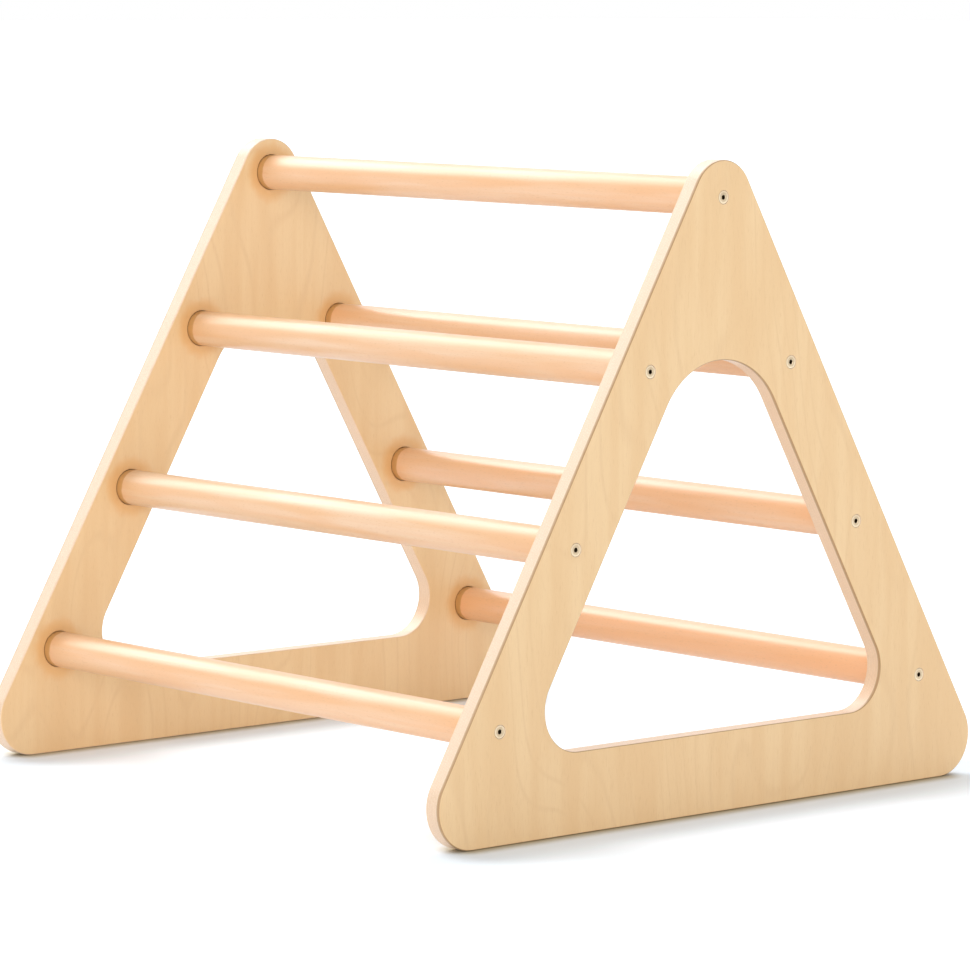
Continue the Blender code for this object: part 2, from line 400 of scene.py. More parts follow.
def veneer_colour(tree, sheet, fibre):
    """Slow bands, nested flame lines that come and go where the knife cut a growth ring, and pores."""
    bands = noise(tree, drawn_out(tree, sheet, VENEER_BAND_SQUEEZE), VENEER_BANDS_PER_METRE)
    waves = noise(tree, drawn_out(tree, sheet, RING_WAVE_SQUEEZE), RING_WAVES_PER_METRE, detail=1)
    shifted = worked_out(tree, "MULTIPLY", waves, RING_WAVE_REACH)
    ring = worked_out(tree, "MULTIPLY_ADD", parted(tree, sheet)[1], GROWTH_RINGS_PER_METRE, shifted)
    flame = ramped(tree, worked_out(tree, "PINGPONG", ring, 0.5), FLAME_LINE_WIDTH, 0.0)
    flame_share = share_of(tree, ramped(tree, bands, *FLAME_LEVELS, *FLAME_SHARES), flame)
    streaks = ramped(tree, fibre["Streaks"], *STREAK_LEVELS, 0.0, VENEER_STREAK_SHARE)
    colour = blended(tree, ramped(tree, bands, *MIDDLE_LEVELS), VENEER_DEEP, VENEER_PALE)
    colour = blended(tree, streaks, colour, VENEER_DEEP)
    colour = blended(tree, flame_share, colour, VENEER_FIGURE)
    return blended(tree, share_of(tree, VENEER_PORE_SHARE, fibre["Pores"]), colour, VENEER_FIGURE)


def rung_shade_mask(tree, place, from_middle_plane, rung_gap):
    """Where shade is painted round the rungs in amber, on the inner faces only."""
    fade = [inner_face + step for step in INNER_FACE_FADE]
    inner = ramped(tree, from_middle_plane, *fade)
    patches = noise(tree, place, RUNG_SHADE_PATCHES_PER_METRE)
    least_reach = POCKET_RADIUS + RUNG_SHADE_REACH / 2
    reach = worked_out(tree, "MULTIPLY_ADD", patches, RUNG_SHADE_REACH, least_reach)
    shade_near_rung = ramped(tree, rung_gap, reach, POCKET_RADIUS + RUNG_SHADE_REACH / 4)
    return share_of(tree, RUNG_SHADE_SHARE, worked_out(tree, "MULTIPLY", shade_near_rung, inner))


def outer_line_mask(tree, x, depth, rung_gap, upward):
    """A dark line along the outer face, strong on the right panel and weak on the left one.

    Its cause is not known. It is painted faint where a wall faces up, as painted light from above,
    and there is none in the bolt holes.
    """
    line = ramped(tree, depth, OUTER_LINE_WIDTH, OUTER_LINE_WIDTH / 2)
    off_the_holes = ramped(tree, rung_gap, HEAD_RECESS_RADIUS, POCKET_RADIUS)
    line = worked_out(tree, "MULTIPLY", line, off_the_holes)
    line = worked_out(tree, "MULTIPLY", line, ramped(tree, upward, *TOP_LIT_NORMALS, 1.0, TOP_LIT_LINE_SHARE))
    half_difference = (OUTER_LINE_SHARE_RIGHT - OUTER_LINE_SHARE_LEFT) / 2
    average = (OUTER_LINE_SHARE_RIGHT + OUTER_LINE_SHARE_LEFT) / 2
    share = worked_out(tree, "MULTIPLY_ADD", worked_out(tree, "SIGN", x), half_difference, average)
    return worked_out(tree, "MULTIPLY", line, share)


def ply_masks(tree, depth):
    """Where the plies lie crosswise and where the glue between them shows, from a depth."""
    ply = panel_thickness / PLY_COUNT
    clamp_inputs = {0: depth, 1: ply / 2, 2: panel_thickness - ply / 2}
    clamped = add_node(tree, "ShaderNodeClamp", clamp_inputs).outputs[0]
    layer = worked_out(tree, "DIVIDE", clamped, ply)
    crossing = worked_out(tree, "MODULO", worked_out(tree, "FLOOR", layer), 2.0)
    from_glue = worked_out(tree, "MULTIPLY", worked_out(tree, "PINGPONG", layer, 0.5), ply)
    return crossing, ramped(tree, from_glue, GLUE_LINE_WIDTH, GLUE_LINE_WIDTH / 4)


def core_colour(tree, place, normal, crossing, outer_line, glue):
    """The plies' own edges, with painted shade making them browner in the cut-out, under the dark outer
    line and the glue.
    """
    from_cutout_middle = vector_worked_out(tree, "SUBTRACT", place, CUTOUT_MIDDLE)
    facing_out = vector_worked_out(tree, "DOT_PRODUCT", from_cutout_middle, normal)
    in_cutout = worked_out(tree, "LESS_THAN", facing_out, 0.0)
    specks = noise(tree, place, CORE_SPECKS_PER_METRE)
    colour = blended(tree, ramped(tree, specks, *MIDDLE_LEVELS), CORE_DEEP, CORE_PALE)
    # Painted shade: the cut-out's walls are browner.
    colour = blended(tree, share_of(tree, CUTOUT_SHADE_SHARE, in_cutout), colour, CUTOUT_SHADE_TAN)
    colour = blended(tree, share_of(tree, CROSSING_PLY_SHARE, crossing), colour, CORE_DEEP)
    colour = blended(tree, outer_line, colour, OUTER_LINE_BROWN)
    return blended(tree, share_of(tree, GLUE_SHARE, glue), colour, GLUE_BROWN)


def paint_birch_plywood():
    """Rotary-cut face veneer on both faces, and the plies and glue lines on every wall."""
    material, tree, shader = new_material("lacquered_birch_plywood")
    coordinates = add_node(tree, "ShaderNodeTexCoord").outputs
    place = coordinates["Object"]
    normal = coordinates["Normal"]
    x = parted(tree, place)[0]
    from_middle_plane = worked_out(tree, "ABSOLUTE", x)
    normal_parts = parted(tree, normal)
    wall = ramped(tree, worked_out(tree, "ABSOLUTE", normal_parts[0]), *FACE_NORMALS)
    rung_gap = gap_to_rung(tree, place)

    # Each panel comes from its own part of a sheet.
    sheet = vector_worked_out(tree, "ADD", place, joined(tree, z=worked_out(tree, "SIGN", x)))
    fibre_inputs = {
        "Place": sheet,
        "Streaks per metre": VENEER_STREAKS_PER_METRE,
        "Pores per metre": VENEER_PORES_PER_METRE,
    }
    fibre = add_node(tree, "ShaderNodeGroup", fibre_inputs, node_tree=wood_fibre).outputs
    # Painted shade round the rungs, in amber.
    rung_shade = rung_shade_mask(tree, place, from_middle_plane, rung_gap)
    face = blended(tree, rung_shade, veneer_colour(tree, sheet, fibre), RUNG_SHADE_AMBER)

    # The walls show plies laid crosswise in turn, with glue between them. A depth that wanders a
    # little from the outer face keeps their lines from being dead straight.
    true_depth = worked_out(tree, "SUBTRACT", outer_face, from_middle_plane)
    waves = noise(tree, place, PLY_WAVES_PER_METRE)
    wander = worked_out(tree, "MULTIPLY_ADD", waves, PLY_WANDER, -PLY_WANDER / 2)
    depth = worked_out(tree, "ADD", true_depth, wander)
    crossing, glue = ply_masks(tree, depth)
    outer_line = outer_line_mask(tree, x, depth, rung_gap, normal_parts[2])
    core = core_colour(tree, place, normal, crossing, outer_line, glue)

    colour = blended(tree, wall, face, core)
    streaks = fibre["Streaks"]
    rough = worked_out(tree, "MULTIPLY_ADD", streaks, VENEER_STREAK_ROUGHNESS, VENEER_ROUGHNESS)
    rough = worked_out(tree, "MULTIPLY_ADD", wall, WALL_ROUGHNESS, rough)
    glue_groove = worked_out(tree, "MULTIPLY", glue, wall)
    relief = worked_out(tree, "SUBTRACT", fibre["Relief"], glue_groove)
    join_paint(tree, shader, colour, rough, relief, strength=0.35, depth=0.00006)
    coat = worked_out(tree, "MULTIPLY_ADD", wall, WALL_COAT, VENEER_COAT)
    tree.links.new(coat, shader.inputs["Coat Weight"])
    shader.inputs["Coat Roughness"].default_value = 0.35
    return material


def stand_in(piece, slot, *nodes):
    """Let a piece ride on the part in place of CAD nodes."""
    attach(piece, "root")
    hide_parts(*nodes)


birch_plywood = paint_birch_plywood()
for name, side in (("side_panel_right", 1), ("side_panel_left", -1)):
    blank = add_piece(f"{name}_blank", panel_mesh(f"{name}_blank", side))
    blank.modifiers.new("flat_faces", "WEIGHTED_NORMAL").keep_sharp = True
    panel = add_piece(f"{name}_plywood", finished_mesh(blank))
    panel.data.materials.append(birch_plywood)
    stand_in(panel, "birch_plywood", name)


# Rungs
# Seven turned beech dowels, 35 mm thick: one at the apex and three down each slope. Their ends
# are eased and bored for a threaded insert, and they are sanded and lacquered.

RUNG_LEVELS = 3
RUNG_EASE = 0.0015
BORE_CHAMFER = 0.0004
RUNG_SPOKES = 96
MERGE_DISTANCE = 1e-7

BEECH_PALE = (0.725, 0.530, 0.360)
BEECH_DEEP = (0.695, 0.418, 0.220)
BEECH_ROSY = (0.800, 0.400, 0.185)
BEECH_ROSY_SHARE = 0.7
BEECH_STREAKS_PER_METRE = 260.0
BEECH_STREAK_SHARE = 0.5
BEECH_PORES_PER_METRE = 1500.0
BEECH_BANDS_PER_METRE = 60.0
BEECH_BAND_SQUEEZE = 0.08
BEECH_BAND_LEVELS = (0.37, 0.61)
BEECH_FLECK = (0.560, 0.320, 0.170)
BEECH_FLECKS_PER_METRE = 1100.0
BEECH_FLECK_SQUEEZE = 0.22
BEECH_FLECK_LEVELS = (0.66, 0.76)
BEECH_FLECK_SHARE = 0.3
BEECH_SHIFT_BY_TONE = 9.0
BEECH_ROUGHNESS = 0.33
BEECH_STREAK_ROUGHNESS = 0.1

# Painted shade on each rung where it leaves its pocket, as a brown band.
ROOT_SHADE_BROWN = (0.470, 0.235, 0.060)
ROOT_SHADE_REACH = 0.0082
ROOT_SHADE_WOBBLE = 0.005
ROOT_SHADE_WAVES_PER_METRE = 70.0
ROOT_SHADE_FADE = 0.0015
ROOT_SHADE_SHARE = 0.85

RUNG_PLACE_INPUTS = [
    ("Top place", "NodeSocketVector", None),
    ("Step down the slope", "NodeSocketVector", None),
    ("Levels", "NodeSocketInt", RUNG_LEVELS),
]
PLACE_INPUTS = RUNG_PLACE_INPUTS + [("Seed", "NodeSocketInt", 0)]
MESH_OUTPUT = [("Geometry", "NodeSocketGeometry")]


def build_rung_places():
    """Geometry group for the seven rung places: the apex and the front slope, then the back slope."""
    tree, given, result = new_group(
        "rung_places",
        "GeometryNodeTree",
        RUNG_PLACE_INPUTS,
        [("Places", "NodeSocketGeometry")],
    )
    top = given["Top place"]
    step = given["Step down the slope"]
    front_count = worked_out(tree, "ADD", given["Levels"], 1.0)
    front_inputs = {"Count": front_count, "Start Location": top, "Offset": step}
    front = add_node(tree, "GeometryNodeMeshLine", front_inputs)
    back_step = vector_worked_out(tree, "MULTIPLY", step, (1, -1, 1))
    back_start = vector_worked_out(tree, "ADD", top, back_step)
    back_inputs = {"Count": given["Levels"], "Start Location": back_start, "Offset": back_step}
    back = add_node(tree, "GeometryNodeMeshLine", back_inputs)
    both = add_node(tree, "GeometryNodeJoinGeometry")
    tree.links.new(back.outputs[0], both.inputs[0])
    tree.links.new(front.outputs[0], both.inputs[0])
    tree.links.new(both.outputs[0], result["Places"])
    return tree


rung_places = build_rung_places()
place_sizes = {
    "Top place": top_place,
    "Step down the slope": step_down,
    "Levels": RUNG_LEVELS,
}


def rung_points(tree, given):
    """The seven rung places, from the inputs of the tree that uses them."""
    inputs = {name: given[name] for name, _, _ in RUNG_PLACE_INPUTS}
    return add_node(tree, "GeometryNodeGroup", inputs, node_tree=rung_places).outputs[0]


def stored(tree, geometry, name, value, **settings):
    """Geometry that carries a value under a name, for its material to read."""
    inputs = {"Geometry": geometry, "Name": name, "Value": value}
    return add_node(tree, "GeometryNodeStoreNamedAttribute", inputs, **settings).outputs[0]


def chosen(tree, number, choices):
    """The choice that a ring's number picks."""
    switch = add_node(tree, "GeometryNodeIndexSwitch", data_type="FLOAT")
    while len(switch.index_switch_items) < len(choices):
        switch.index_switch_items.new()
    tree.links.new(number, switch.inputs[0])
    for i, choice in enumerate(choices):
        if isinstance(choice, bpy.types.NodeSocket):
            tree.links.new(choice, switch.inputs[i + 1])
        else:
            switch.inputs[i + 1].default_value = choice
    return switch.outputs[0]


def turned_blank(tree, rings, spokes):
    """A piece turned about X from its rings of (place along X, radius, share of hexagon)."""
    grid_inputs = {"Vertices X": len(rings), "Vertices Y": spokes + 1}
    grid = add_node(tree, "GeometryNodeMeshGrid", grid_inputs).outputs[0]
    index = add_node(tree, "GeometryNodeInputIndex").outputs[0]
    past_index = worked_out(tree, "ADD", index, 0.5)
    ring = worked_out(tree, "FLOOR", worked_out(tree, "DIVIDE", past_index, spokes + 1.0))
    spoke = worked_out(tree, "SUBTRACT", index, worked_out(tree, "MULTIPLY", ring, spokes + 1.0))
    turn = worked_out(tree, "MULTIPLY", spoke, 2 * math.pi / spokes)
    along, radius, hexagon = [chosen(tree, ring, choices) for choices in zip(*rings)]

    # A hexagon's corners reach out by 1 / cosine of the turn from the middle of a flat.
    past_corner = worked_out(tree, "MODULO", turn, math.pi / 3)
    from_flat = worked_out(tree, "SUBTRACT", past_corner, math.pi / 6)
    out_to_hexagon = worked_out(tree, "DIVIDE", 1.0, worked_out(tree, "COSINE", from_flat))
    corner_reach = worked_out(tree, "SUBTRACT", out_to_hexagon, 1.0)
    swell = worked_out(tree, "MULTIPLY_ADD", corner_reach, hexagon, 1.0)
    reach = worked_out(tree, "MULTIPLY", radius, swell)
    y = worked_out(tree, "MULTIPLY", reach, worked_out(tree, "COSINE", turn))
    z = worked_out(tree, "MULTIPLY", reach, worked_out(tree, "SINE", turn))
    roll_inputs = {"Geometry": grid, "Position": joined(tree, along, y, z)}
    rolled = add_node(tree, "GeometryNodeSetPosition", roll_inputs).outputs[0]
    merge_inputs = {"Geometry": rolled, "Distance": MERGE_DISTANCE}
    closed = add_node(tree, "GeometryNodeMergeByDistance", merge_inputs).outputs[0]
    own_place = add_node(tree, "GeometryNodeInputPosition").outputs[0]
    return stored(tree, closed, "own_place", own_place, data_type="FLOAT_VECTOR")


def eased_rings(tree, end, radius, ease, steps):
    """Rings that round the edge from an end face, at place end, to a body of the radius."""
    rings = []
    for step in range(steps + 1):
        angle = math.pi / 2 * step / steps
        place = worked_out(tree, "MULTIPLY_ADD", ease, math.cos(angle) - 1, end)
        rings.append((place, worked_out(tree, "MULTIPLY_ADD", ease, math.sin(angle) - 1, radius), 0.0))
    return rings


def set_out(tree, points, piece, seed, turn):
    """Copies of a piece on its points, turned, each with its own tone from 0 to 1."""
    inputs = {"Points": points, "Instance": piece, "Rotation": turn}
    copies = add_node(tree, "GeometryNodeInstanceOnPoints", inputs).outputs[0]
    tone = add_node(tree, "FunctionNodeRandomValue", {"Seed": seed}, data_type="FLOAT").outputs[1]
    return stored(tree, copies, "tone", tone, data_type="FLOAT", domain="INSTANCE")


def close_tree(tree, geometry, material, result):
    """End a tree as the export needs it: real mesh, with its material."""
    real = add_node(tree, "GeometryNodeRealizeInstances", {0: geometry}).outputs[0]
    painted = add_node(tree, "GeometryNodeSetMaterial", {"Geometry": real, "Material": material})
    tree.links.new(painted.outputs[0], result["Geometry"])


def grown_piece(name, tree, sizes):
    """The mesh that a tree makes from named sizes, as one plain piece."""
    bench = add_piece(f"{name}_bench", bpy.data.meshes.new(f"{name}_bench"))
    modifier = bench.modifiers.new("tree", "NODES")
    modifier.node_group = tree
    for socket in tree.interface.items_tree:
        if socket.in_out == "INPUT" and socket.name in sizes:
            modifier[socket.identifier] = sizes[socket.name]
    piece = add_piece(name, finished_mesh(bench))
    finish = piece.data.materials[-1]
    piece.data.materials.clear()
    piece.data.materials.append(finish)
    piece.data.shade_smooth()
    piece.data.set_sharp_from_angle(angle=SMOOTH_ANGLE)
    return piece


def carried(tree, name, output):
    """What a turned piece carries under a name: its place before it was set out, or its tone."""
    return add_node(tree, "ShaderNodeAttribute", attribute_name=name).outputs[output]


def paint_beech():
    """Pale beech: faint long streaks and the short flecks of its rays, lacquered to a satin finish."""
    material, tree, shader = new_material("lacquered_beech")
    own_place = carried(tree, "own_place", "Vector")
    tone = carried(tree, "tone", "Fac")
    own = parted(tree, own_place)
    along = worked_out(tree, "ADD", own[0], worked_out(tree, "MULTIPLY", tone, BEECH_SHIFT_BY_TONE))
    upright = joined(tree, own[1], own[2], along)
    fibre_inputs = {
        "Place": upright,
        "Streaks per metre": BEECH_STREAKS_PER_METRE,
        "Pores per metre": BEECH_PORES_PER_METRE,
    }
    fibre = add_node(tree, "ShaderNodeGroup", fibre_inputs, node_tree=wood_fibre).outputs
    bands = noise(tree, drawn_out(tree, upright, BEECH_BAND_SQUEEZE), BEECH_BANDS_PER_METRE)
    rays = noise(tree, drawn_out(tree, upright, BEECH_FLECK_SQUEEZE), BEECH_FLECKS_PER_METRE, detail=0)
    flecks = ramped(tree, rays, *BEECH_FLECK_LEVELS)
    streaks = ramped(tree, fibre["Streaks"], *STREAK_LEVELS, 0.0, BEECH_STREAK_SHARE)
    colour = blended(tree, ramped(tree, bands, *BEECH_BAND_LEVELS), BEECH_DEEP, BEECH_PALE)
    colour = blended(tree, streaks, colour, BEECH_DEEP)
    colour = blended(tree, share_of(tree, BEECH_ROSY_SHARE, tone), colour, BEECH_ROSY)
    colour = blended(tree, share_of(tree, BEECH_FLECK_SHARE, flecks), colour, BEECH_FLECK)

    # Shade is painted on the rung where it comes out of its pocket, as a brown band.
    waves = noise(tree, own_place, ROOT_SHADE_WAVES_PER_METRE)
    least_start = inner_face - ROOT_SHADE_REACH - ROOT_SHADE_WOBBLE / 2
    start = worked_out(tree, "MULTIPLY_ADD", waves, ROOT_SHADE_WOBBLE, least_start)
    full = worked_out(tree, "ADD", start, ROOT_SHADE_FADE)
    root = ramped(tree, worked_out(tree, "ABSOLUTE", own[0]), start, full, 0.0, ROOT_SHADE_SHARE)
    colour = blended(tree, root, colour, ROOT_SHADE_BROWN)
    rough = worked_out(tree, "MULTIPLY_ADD", fibre["Streaks"], BEECH_STREAK_ROUGHNESS, BEECH_ROUGHNESS)
    join_paint(tree, shader, colour, rough, fibre["Relief"], strength=0.3, depth=0.00004)
    shader.inputs["Coat Weight"].default_value = 1.0
    shader.inputs["Coat Roughness"].default_value = 0.38
    shader.inputs["Coat IOR"].default_value = 1.75
    shader.inputs["Specular IOR Level"].default_value = 0.0
    return material


def build_rungs(material):
    """Geometry group for the rungs, each bored at both ends."""
    tree, given, result = new_group(
        "rungs",
        "GeometryNodeTree",
        PLACE_INPUTS
        + [
            ("Length", "NodeSocketFloat", 0.6),
            ("Diameter", "NodeSocketFloat", 0.035),
            ("End ease", "NodeSocketFloat", RUNG_EASE),
            ("Bore diameter", "NodeSocketFloat", 0.0106),
            ("Bore depth", "NodeSocketFloat", 0.019),
        ],
        MESH_OUTPUT,
    )
    end = worked_out(tree, "DIVIDE", given["Length"], 2.0)
    radius = worked_out(tree, "DIVIDE", given["Diameter"], 2.0)
    bore = worked_out(tree, "DIVIDE", given["Bore diameter"], 2.0)
    bore_floor = worked_out(tree, "SUBTRACT", end, given["Bore depth"])
    half = [
        (bore_floor, 0.0, 0.0),
        (bore_floor, bore, 0.0),
        (worked_out(tree, "SUBTRACT", end, BORE_CHAMFER), bore, 0.0),
        (end, worked_out(tree, "ADD", bore, BORE_CHAMFER), 0.0),
    ]
    half += eased_rings(tree, end, radius, given["End ease"], EASE_STEPS)
    other_half = []
    for place, ring_radius, hexagon in reversed(half):
        other_half.append((worked_out(tree, "MULTIPLY", place, -1.0), ring_radius, hexagon))
    blank = turned_blank(tree, half + other_half, RUNG_SPOKES)
    rungs_set_out = set_out(tree, rung_points(tree, given), blank, given["Seed"], (0, 0, 0))
    close_tree(tree, rungs_set_out, material, result)
    return tree


rung_low, rung_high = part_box("rung_top")
rung_sizes = {
    "Seed": 70,
    "Length": rung_high.x - rung_low.x,
    "Diameter": rung_high.z - rung_low.z,
}
rungs = grown_piece("rungs", build_rungs(paint_beech()), {**place_sizes, **rung_sizes})
stand_in(rungs, "beech", *rung_nodes)


# Bolts
# Fourteen M6 countersunk machine bolts with hex sockets, zinc-plated steel. Each is driven through
# a panel from outside until its head is flush, and no two stop at the same turn.

HEAD_RIM = 0.0005
HEAD_EASE = 0.00015
SOCKET_LEAD_IN = 0.0003
SOCKET_POINT = 0.0006
THREAD_DEPTH = 0.0005
THREAD_PITCH = 0.001
THREAD_TURNS = 22
HEAD_EASE_STEPS = 2
BOLT_SPOKES = 48

ZINC_BRIGHT = (0.880, 0.715, 0.500)
ZINC_DULL = (0.580, 0.445, 0.290)
ZINC_DULL_RADII = (0.0052, 0.0038)
ZINC_DULL_SHARE = 0.7
ZINC_PATCHES_PER_METRE = 500.0
ZINC_PATCH_SHARE = 0.5
ZINC_RINGS_PER_METRE = 9000.0
ZINC_RING_SHIFT_BY_TONE = 0.001
# Painted shade inside the hex socket.
SOCKET_SHADE = (0.045, 0.024, 0.006)
SOCKET_SHADE_DEPTHS = (-0.0001, -0.0006)
SOCKET_SHADE_RADII = (0.0025, 0.0024)
SOCKET_SHADE_SHARE = 0.95
ZINC_ROUGHNESS = 0.22
ZINC_RING_ROUGHNESS = 0.2
ZINC_PATCH_ROUGHNESS = 0.15


def set_out_on_both_sides(tree, given, blank):
    """A piece in every rung end, facing out: its own outer end is at x = 0, and it lies towards -X."""
    places = rung_points(tree, given)
    both = add_node(tree, "GeometryNodeJoinGeometry")
    for side, half_turn in ((1, 0.0), (-1, math.pi)):
        shift = joined(tree, worked_out(tree, "MULTIPLY", given["Outer end"], float(side)))
        move_inputs = {"Geometry": places, "Offset": shift}
        moved = add_node(tree, "GeometryNodeSetPosition", move_inputs).outputs[0]
        seed = worked_out(tree, "ADD", given["Seed"], float(side))
        stop_inputs = {"Seed": seed, 3: 2 * math.pi}
        stop = add_node(tree, "FunctionNodeRandomValue", stop_inputs, data_type="FLOAT").outputs[1]
        turn = joined(tree, stop, 0.0, half_turn)
        tree.links.new(set_out(tree, moved, blank, seed, turn), both.inputs[0])
    return both.outputs[0]


def distance_from_axis(tree, own):
    """How far a turned piece's own place, given by its parts, is from its axis."""
    z_squared = worked_out(tree, "MULTIPLY", own[2], own[2])
    return worked_out(tree, "SQRT", worked_out(tree, "MULTIPLY_ADD", own[1], own[1], z_squared))


def paint_zinc():
    """Zinc plate with the lathe's fine rings on it, duller towards the middle, with painted shade in the
    socket.
    """
    material, tree, shader = new_material("zinc_plated_steel")
    own_place = carried(tree, "own_place", "Vector")
    tone = carried(tree, "tone", "Fac")
    own = parted(tree, own_place)
    radius = distance_from_axis(tree, own)
    ring_place = joined(tree, radius, worked_out(tree, "MULTIPLY", tone, ZINC_RING_SHIFT_BY_TONE))
    rings = noise(tree, ring_place, ZINC_RINGS_PER_METRE, detail=3, roughness=0.7)
    patches = noise(tree, own_place, ZINC_PATCHES_PER_METRE, detail=3)
    below_rim = ramped(tree, own[0], *SOCKET_SHADE_DEPTHS)
    in_socket = worked_out(tree, "MULTIPLY", below_rim, ramped(tree, radius, *SOCKET_SHADE_RADII))
    dull = ramped(tree, radius, *ZINC_DULL_RADII, 0.0, ZINC_DULL_SHARE)
    worn = worked_out(tree, "MULTIPLY_ADD", patches, ZINC_PATCH_SHARE, dull)
    colour = blended(tree, worn, ZINC_BRIGHT, ZINC_DULL)
    colour = blended(tree, share_of(tree, SOCKET_SHADE_SHARE, in_socket), colour, SOCKET_SHADE)
    rough = worked_out(tree, "MULTIPLY_ADD", rings, ZINC_RING_ROUGHNESS, ZINC_ROUGHNESS)
    rough = worked_out(tree, "MULTIPLY_ADD", patches, ZINC_PATCH_ROUGHNESS, rough)
    join_paint(tree, shader, colour, rough, rings, strength=0.25, depth=0.00002)
    shader.inputs["Metallic"].default_value = 1.0
    return material


def build_bolts(material):
    """Geometry group for the bolts. Rings at the thread's pitch stand for the thread's helix."""
    tree, given, result = new_group(
        "bolts",
        "GeometryNodeTree",
        PLACE_INPUTS
        + [
            ("Outer end", "NodeSocketFloat", 0.3377),
            ("Head diameter", "NodeSocketFloat", 0.012),
            ("Shank diameter", "NodeSocketFloat", 0.006),
            ("Length", "NodeSocketFloat", 0.030),
            ("Socket across flats", "NodeSocketFloat", 0.004),
            ("Socket depth", "NodeSocketFloat", 0.0028),
            ("Thread pitch", "NodeSocketFloat", THREAD_PITCH),
        ],
        MESH_OUTPUT,
    )
    head = worked_out(tree, "DIVIDE", given["Head diameter"], 2.0)
    shank = worked_out(tree, "DIVIDE", given["Shank diameter"], 2.0)
    flat = worked_out(tree, "DIVIDE", given["Socket across flats"], 2.0)
    socket_floor = worked_out(tree, "MULTIPLY", given["Socket depth"], -1.0)
    tip = worked_out(tree, "MULTIPLY", given["Length"], -1.0)
    thread_root = worked_out(tree, "SUBTRACT", shank, THREAD_DEPTH)
    cone_end = worked_out(tree, "SUBTRACT", worked_out(tree, "SUBTRACT", shank, head), HEAD_RIM)
    rings = [
        (worked_out(tree, "SUBTRACT", socket_floor, SOCKET_POINT), 0.0, 0.0),
        (socket_floor, flat, 1.0),
        (-SOCKET_LEAD_IN, flat, 1.0),
        (0.0, worked_out(tree, "ADD", flat, SOCKET_LEAD_IN), 1.0),
    ]
    rings += eased_rings(tree, 0.0, head, HEAD_EASE, HEAD_EASE_STEPS)
    rings += [(-HEAD_RIM, head, 0.0), (cone_end, shank, 0.0)]
    for i in range(2 * THREAD_TURNS + 1):
        back_from_tip = (2 * THREAD_TURNS + 1 - i) / 2
        place = worked_out(tree, "MULTIPLY_ADD", given["Thread pitch"], back_from_tip, tip)
        rings.append((place, thread_root if i % 2 else shank, 0.0))
    point = worked_out(tree, "SUBTRACT", thread_root, THREAD_DEPTH / 2)
    rings += [(tip, point, 0.0), (tip, 0.0, 0.0)]
    blank = turned_blank(tree, rings, BOLT_SPOKES)
    close_tree(tree, set_out_on_both_sides(tree, given, blank), material, result)
    return tree


bolt_nodes = [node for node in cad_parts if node.startswith("bolt_")]
bolt_sizes = {"Seed": 11, "Outer end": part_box("bolt_right_top")[1].x}
bolts = grown_piece("bolts", build_bolts(paint_zinc()), {**place_sizes, **bolt_sizes})
stand_in(bolts, "bolt_steel", *bolt_nodes)


# Threaded inserts
# Fourteen brass sleeves with a coarse outer thread, screwed into the end grain of the rungs.
# They are what the bolts bite in, and nothing of them shows once the triangle is together.

INSERT_THREAD_DEPTH = 0.0008
INSERT_THREAD_TURNS = 5
INSERT_SPOKES = 32

BRASS_BRIGHT = (0.820, 0.620, 0.300)
BRASS_DULL = (0.520, 0.360, 0.150)
BRASS_ROOT_RADII = (0.0049, 0.0043)
BRASS_PATCHES_PER_METRE = 420.0
BRASS_PATCH_LEVELS = (0.55, 0.8)
BRASS_PATCH_SHARE = 0.5
BRASS_RINGS_PER_METRE = 6000.0
BRASS_RING_SQUEEZE = 0.02
BRASS_ROUGHNESS = 0.2
BRASS_RING_ROUGHNESS = 0.25


def paint_brass():
    """Brass as machined, darker in the roots of its thread."""
    material, tree, shader = new_material("machined_brass")
    own_place = carried(tree, "own_place", "Vector")
    radius = distance_from_axis(tree, parted(tree, own_place))
    patches = noise(tree, own_place, BRASS_PATCHES_PER_METRE, detail=3)
    ring_scale = (1, BRASS_RING_SQUEEZE, BRASS_RING_SQUEEZE)
    ring_place = vector_worked_out(tree, "MULTIPLY", own_place, ring_scale)
    rings = noise(tree, ring_place, BRASS_RINGS_PER_METRE)
    dull_patches = ramped(tree, patches, *BRASS_PATCH_LEVELS, 0.0, BRASS_PATCH_SHARE)
    colour = blended(tree, ramped(tree, radius, *BRASS_ROOT_RADII), BRASS_BRIGHT, BRASS_DULL)
    colour = blended(tree, dull_patches, colour, BRASS_DULL)
    rough = worked_out(tree, "MULTIPLY_ADD", rings, BRASS_RING_ROUGHNESS, BRASS_ROUGHNESS)
    join_paint(tree, shader, colour, rough, rings, strength=0.3, depth=0.00002)
    shader.inputs["Metallic"].default_value = 1.0
    return material


